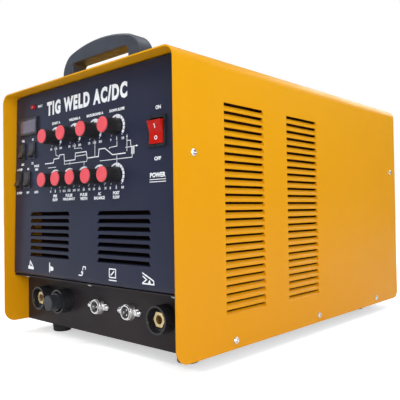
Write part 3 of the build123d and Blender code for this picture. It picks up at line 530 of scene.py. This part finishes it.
def connector_icons(mesh):
    """Pictograms over the connector row: work clamp, gas, torch switch, pedal, torch."""
    rise = 13.3
    x = -113.5
    prism(
        mesh,
        [(x - 6.6, rise - 4.4), (x + 6.6, rise - 4.8), (x + 7.0, rise - 1.4), (x - 6.2, rise - 0.4)],
    )
    ribbon(mesh, [(x - 3.0, rise - 0.6), (x - 1.4, rise + 5.2), (x + 4.2, rise - 0.6)], 1.7)
    x = -66.6
    box(mesh, x - 3.0, rise, 1.9, 12.0)
    prism(
        mesh,
        [(x - 1.2, rise - 4.0), (x + 5.2, rise - 3.4), (x + 5.2, rise + 0.4), (x - 1.2, rise + 2.2)],
    )
    x = -2.0
    ribbon(mesh, [(x - 6.4, rise - 4.8), (x + 0.2, rise - 4.8), (x + 0.2, rise - 0.6)], ICON_LINE)
    arc(mesh, x + 0.2, rise - 2.0, 1.0, 2.2, -90, 180, 12)
    ribbon(
        mesh,
        [(x + 1.2, rise + 1.0), (x + 2.2, rise + 5.2), (x + 6.8, rise + 5.2), (x + 6.6, rise + 2.0)],
        ICON_LINE,
    )
    x = 53.6
    ribbon(mesh, [(x - 5.4, rise - 3.2), (x + 5.4, rise - 3.2), (x + 5.4, rise + 5.8)], ICON_LINE)
    ribbon(mesh, [(x + 5.4, rise + 5.8), (x - 5.4, rise + 5.8), (x - 5.4, rise - 3.2)], ICON_LINE)
    ribbon(mesh, [(x - 3.0, rise - 1.0), (x + 3.0, rise + 3.8)], 1.4)
    box(mesh, x + 0.4, rise - 6.2, 13.4, 1.1)
    x = 110.2
    ribbon(
        mesh,
        [(x - 8.4, rise + 5.2), (x + 8.4, rise - 1.8), (x + 8.8, rise - 5.4), (x - 8.6, rise - 5.4)],
        1.3,
    )
    ribbon(mesh, [(x - 8.6, rise - 5.4), (x - 2.0, rise - 1.2), (x - 7.8, rise + 2.0)], 1.3)
    prism(mesh, [(x - 0.6, rise - 5.2), (x + 4.6, rise - 5.2), (x + 2.6, rise - 1.0)])


for piece_name, drawing in (
    ("panel_title", title),
    ("dial_captions", small_labels),
    ("selector_captions", selector_labels),
    ("dial_scales", dial_marks),
    ("current_waveform", waveform),
    ("power_captions", power_marks),
    ("connector_pictograms", connector_icons),
):
    print_piece(piece_name, drawing)

# ------------------------------------------------------------ marks on the rockers
POWER_TILT = math.radians(9.5)
POWER_CROWN = 4.46 * MM
POWER_HALF = 11.8 * MM


def rocker_half(joint_name, upper):
    """The frame of one half of the power rocker's face, as it rests with its top out."""
    along = UP * math.cos(POWER_TILT) + OUT * math.sin(POWER_TILT)
    normal = OUT * math.cos(POWER_TILT) - UP * math.sin(POWER_TILT)
    knee = Vector(joints[joint_name]["pos_m"]) + normal * POWER_CROWN
    side = 1 if upper else -1
    rise = along * math.cos(POWER_TILT) + normal * side * math.sin(POWER_TILT)
    middle = knee + rise * side * POWER_HALF / 2
    axes = Matrix((ACROSS, rise, ACROSS.cross(rise)))
    return Matrix.Translation(middle) @ axes.transposed().to_4x4()


def on_mark(mesh):
    box(mesh, 0.0, 0.0, 0.9, 4.6)


def off_mark(mesh):
    for start in (0, 90, 180, 270):
        arc(mesh, 0.0, 0.0, 1.3, 2.1, start, start + 90)


print_piece("power_on_mark", on_mark, "power_switch", rocker_half("power_rock", True))
print_piece("power_off_mark", off_mark, "power_switch", rocker_half("power_rock", False))

# ------------------------------------------------------------- printing on the rear
rear_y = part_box("rear_panel")[1].y
REAR = Matrix.Translation((0, rear_y, 0)) @ Matrix(
    ((-1, 0, 0), (0, 0, 1), (0, 1, 0))
).transposed().to_4x4()


def rear_place(node):
    """The middle of a node seen from behind, in millimetres across and up."""
    low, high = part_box(node)
    return -(low.x + high.x) / 2 / MM, (low.z + high.z) / 2 / MM


def rear_captions(mesh):
    x, rise = rear_place("gas_inlet")
    words(mesh, "GAS INLET", x, rise + 18.0, 4.2, 27.0, FINE_WEIGHT)
    x, rise = rear_place("cable_gland")
    words(mesh, "MAINS", x, rise + 22.0, 4.2, 17.0, FINE_WEIGHT)
    x, rise = rear_place("fan_guard")
    words(mesh, "AIR INTAKE", x, rise + 72.0, 4.6, 33.0, FINE_WEIGHT)
    arc(mesh, x, rise, 66.0, 66.8, 20, 70, 12)
    arc(mesh, x, rise, 66.0, 66.8, 110, 160, 12)


print_piece("rear_captions", rear_captions, frame_matrix=REAR)

# ------------------------------------------------------------- dark sheets inside the case, painted shade
SHEET_FRONT = -205 * MM
SHEET_BACK = 130 * MM
SHEET_GAP = 18 * MM
SHEET_FLANGE = 10 * MM
SHEET_THICKNESS = 0.8 * MM
SHEET_HEADROOM = 28 * MM
SHEET_CROSS = -122 * MM


def dark_shade_sheets():
    """Dark folded sheets on the power board, painted shade: they darken the view through the louvres and grilles.
    One stands inside each row of louvres, one behind the grilles.
    """
    mesh = bmesh.new()
    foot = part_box("power_board")[1].z
    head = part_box("outer_cover")[1].z - SHEET_HEADROOM
    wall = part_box("outer_cover")[1].x - SHEET_GAP
    thick = SHEET_THICKNESS
    profile = (
        (wall, foot), (wall, head), (wall - SHEET_FLANGE, head), (wall - SHEET_FLANGE, head - thick),
        (wall - thick, head - thick), (wall - thick, foot + thick),
        (wall - SHEET_FLANGE, foot + thick), (wall - SHEET_FLANGE, foot),
    )
    for side in (-1, 1):
        near = [mesh.verts.new((side * x, SHEET_FRONT, z)) for x, z in profile]
        far = [mesh.verts.new((side * x, SHEET_BACK, z)) for x, z in profile]
        mesh.faces.new(near)
        mesh.faces.new(far[::-1])
        for i in range(len(profile)):
            mesh.faces.new((near[i - 1], near[i], far[i], far[i - 1]))
    bmesh.ops.create_cube(
        mesh, size=1.0,
        matrix=Matrix.Translation((0.0, SHEET_CROSS, (foot + head) / 2))
        @ Matrix.Diagonal((2 * (wall - thick), thick, head - foot, 1.0)),
    )
    bmesh.ops.recalc_face_normals(mesh, faces=mesh.faces)
    data = bpy.data.meshes.new("dark_shade_sheets")
    mesh.to_mesh(data)
    mesh.free()
    # Near-black sheet colour: painted shade seen through the louvres and grilles.
    shade_paint = moulded("shade_sheet_paint", (0.030, 0.011, 0.006), 0.8, 300.0, 0.4, shine=0.2)
    data.materials.append(shade_paint)
    piece = bpy.data.objects.new("dark_shade_sheets", data)
    scene.collection.objects.link(piece)
    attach(piece, "machine")


dark_shade_sheets()

# ---------------------------------------------------------------------------- studio
FLOOR_HALF = 6.0
NEAR_GLOW = 0.5
FAR_GLOW = 1.0
# The camera stands where a fit to the case's edges in the photograph puts it.
CAMERA_LENS = 47.6
CAMERA_PLACE = (0.50639, -0.59273, 0.15859)
CAMERA_TURN = (91.120, 0.854, 42.511)


def pale_floor():
    """A pale floor that the camera sees fade into the white surroundings."""
    data = bpy.data.meshes.new("studio_floor")
    half = FLOOR_HALF
    corners = [(-half, -half, 0), (half, -half, 0), (half, half, 0), (-half, half, 0)]
    data.from_pydata(corners, [], [(0, 1, 2, 3)])
    paint = new_material("floor_paint", (0.90, 0.90, 0.90), 0.7, shine=0.1)
    mottle(paint, (0.90, 0.90, 0.90), (0.92, 0.92, 0.92), 3.0)
    shader_of(paint).inputs["Emission Color"].default_value = (1.0, 1.0, 1.0, 1.0)
    seen = add_node(paint, "ShaderNodeLightPath")
    distance = add_node(paint, "ShaderNodeVectorMath", operation="LENGTH")
    join(paint, place_of(paint), distance.inputs[0])
    spread = add_node(paint, "ShaderNodeMapRange")
    spread.inputs["From Min"].default_value = cad_high.y * 2
    spread.inputs["From Max"].default_value = cad_high.y * 8
    spread.inputs["To Min"].default_value = NEAR_GLOW
    spread.inputs["To Max"].default_value = FAR_GLOW
    join(paint, distance.outputs["Value"], spread.inputs["Value"])
    glow = add_node(paint, "ShaderNodeMath", operation="MULTIPLY")
    join(paint, seen.outputs["Is Camera Ray"], glow.inputs[0])
    join(paint, spread.outputs["Result"], glow.inputs[1])
    join(paint, glow.outputs["Value"], shader_of(paint).inputs["Emission Strength"])
    data.materials.append(paint)
    floor = bpy.data.objects.new("studio_floor", data)
    scene.collection.objects.link(floor)


def soft_light(name, place, aim, size, power, colour=(1, 1, 1)):
    data = bpy.data.lights.new(name, "AREA")
    data.shape = "RECTANGLE"
    data.size, data.size_y = size
    data.energy = power
    data.color = colour
    light = bpy.data.objects.new(name, data)
    light.location = place
    light.rotation_euler = (Vector(aim) - Vector(place)).to_track_quat("-Z", "Y").to_euler()
    scene.collection.objects.link(light)


def white_surroundings(strength):
    """A backdrop that the camera sees as white, and that lights the object softly."""
    world = bpy.data.worlds.new("studio_world")
    world.use_nodes = True
    tree = world.node_tree
    sky = tree.nodes["Background"]
    sky.inputs["Color"].default_value = (0.88, 0.93, 1.0, 1.0)
    sky.inputs["Strength"].default_value = strength
    backdrop = tree.nodes.new("ShaderNodeBackground")
    backdrop.inputs["Strength"].default_value = 1.0
    backdrop.inputs["Color"].default_value = (1.0, 1.0, 1.0, 1.0)
    seen = tree.nodes.new("ShaderNodeLightPath")
    mix = tree.nodes.new("ShaderNodeMixShader")
    tree.links.new(seen.outputs["Is Camera Ray"], mix.inputs["Fac"])
    tree.links.new(sky.outputs["Background"], mix.inputs[1])
    tree.links.new(backdrop.outputs["Background"], mix.inputs[2])
    tree.links.new(mix.outputs["Shader"], tree.nodes["World Output"].inputs["Surface"])
    scene.world = world


def camera_at_photo():
    data = bpy.data.cameras.new("camera")
    data.lens = CAMERA_LENS
    data.clip_start = 0.01
    camera = bpy.data.objects.new("camera", data)
    camera.location = CAMERA_PLACE
    camera.rotation_euler = Euler([math.radians(turn) for turn in CAMERA_TURN])
    scene.collection.objects.link(camera)
    scene.camera = camera


pale_floor()
soft_light("overhead_light", (0.3, -0.1, 2.4), (0, 0, 0), (3.4, 3.4), 60.0)
soft_light("key_light", (2.0, -1.6, 0.9), (0, 0, 0.16), (1.2, 1.2), 34.0)
soft_light("left_light", (-1.5, -1.3, 1.9), (0, -0.2, 0.16), (0.7, 0.7), 16.0)
soft_light("far_left_light", (-2.6, -1.1, 0.35), (0, -0.2, 0.16), (1.3, 1.6), 8.0, (0.66, 0.78, 1.0))
soft_light("back_light", (0.2, 2.4, 1.5), (0, 0, 0.2), (1.6, 1.0), 16.0)
white_surroundings(0.18)
scene.view_settings.view_transform = "Standard"
camera_at_photo()
